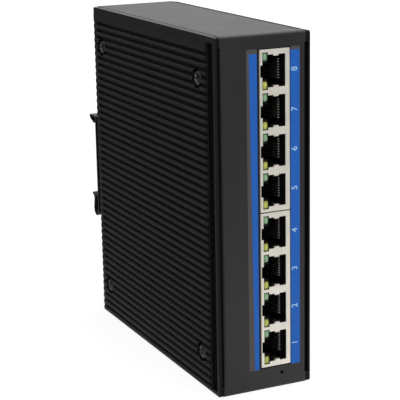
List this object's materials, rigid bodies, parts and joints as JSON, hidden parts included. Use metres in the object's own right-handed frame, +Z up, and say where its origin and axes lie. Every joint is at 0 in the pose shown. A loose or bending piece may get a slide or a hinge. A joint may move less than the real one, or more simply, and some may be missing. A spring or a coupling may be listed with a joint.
{
  "type": "din rail ethernet switch",
  "caption": "Tall narrow metal-cased industrial network switch with a column of shielded jacks, finned sides and a rear clip for top-hat rail.",
  "frame": {"origin": "under the middle of the whole box, rail clip included, on the surface it stands on", "axes": "+Z up, ports face -Y, rail clip at +Y, +X to the right seen from the ports"},
  "size_m": [0.0408, 0.134, 0.142],
  "materials": {
    "case_paint": "satin charcoal powder coat",
    "clip_steel": "black coated spring steel",
    "screw_steel": "blackened steel",
    "bright_steel": "zinc plated",
    "shield_metal": "tinned shield",
    "insulator": "black moulding",
    "contact_metal": "gold plated",
    "lamp_green": "milky green window",
    "lamp_yellow": "milky yellow window",
    "lamp_clear": "dark window",
    "strip_blue": "printed film",
    "board_green": "solder resist",
    "chip_black": "moulded",
    "sink_aluminium": "clear anodised",
    "ferrite": "ferrite",
    "can_aluminium": "plain can",
    "terminal_green": "moulded"
  },
  "bodies": {
    "root": {"front_chassis": "case_paint", "rear_panel": "case_paint", "side_plate_left": "case_paint", "side_plate_right": "case_paint", "side_screws_left": "screw_steel", "side_screws_right": "screw_steel", "clinch_nuts": "bright_steel", "jack_shield_lower": "shield_metal", "jack_shield_upper": "shield_metal", "jack_body_lower": "insulator", "jack_body_upper": "insulator", "jack_contacts_lower": "contact_metal", "jack_contacts_upper": "contact_metal", "lamps_green": "lamp_green", "lamps_yellow": "lamp_yellow", "port_strip_left": "strip_blue", "port_strip_right": "strip_blue", "power_lamp": "lamp_clear", "main_board": "board_green", "board_standoffs": "bright_steel", "switch_chip": "chip_black", "chip_heat_sink": "sink_aluminium", "network_transformers": "chip_black", "power_inductor": "ferrite", "filter_capacitors": "can_aluminium", "terminal_header": "terminal_green", "terminal_pins": "bright_steel", "rail_clip": "clip_steel", "clip_backing_plate": "clip_steel", "clip_screws": "bright_steel", "clip_nuts": "bright_steel"}
  },
  "joints": []
}
